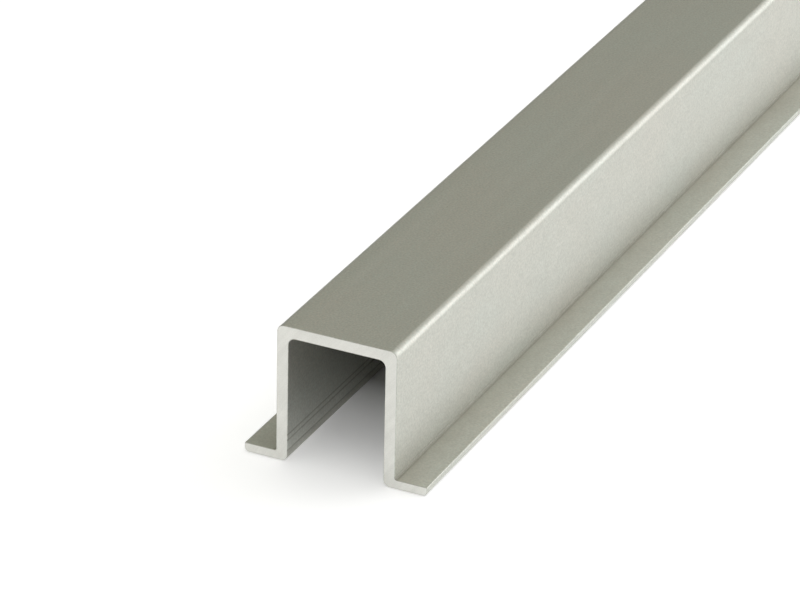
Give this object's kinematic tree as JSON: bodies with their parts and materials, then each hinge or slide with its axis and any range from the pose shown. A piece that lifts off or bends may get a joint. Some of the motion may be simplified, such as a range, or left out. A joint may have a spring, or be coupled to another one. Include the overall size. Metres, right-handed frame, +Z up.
{
  "type": "sliding door bottom track",
  "caption": "Extruded aluminium hat-section track for the bottom of a sliding door: a straight guide channel, open below, with a flange along each foot.",
  "frame": {"origin": "on the plane of the flange undersides, in the middle of the channel and halfway along the stock", "axes": "+X across the track, +Y along it, +Z up from the flanges to the crown"},
  "size_m": [0.04, 1, 0.03],
  "materials": {
    "anodised_aluminium": "natural satin anodised"
  },
  "bodies": {
    "root": {"track_profile": "anodised_aluminium"}
  },
  "joints": []
}
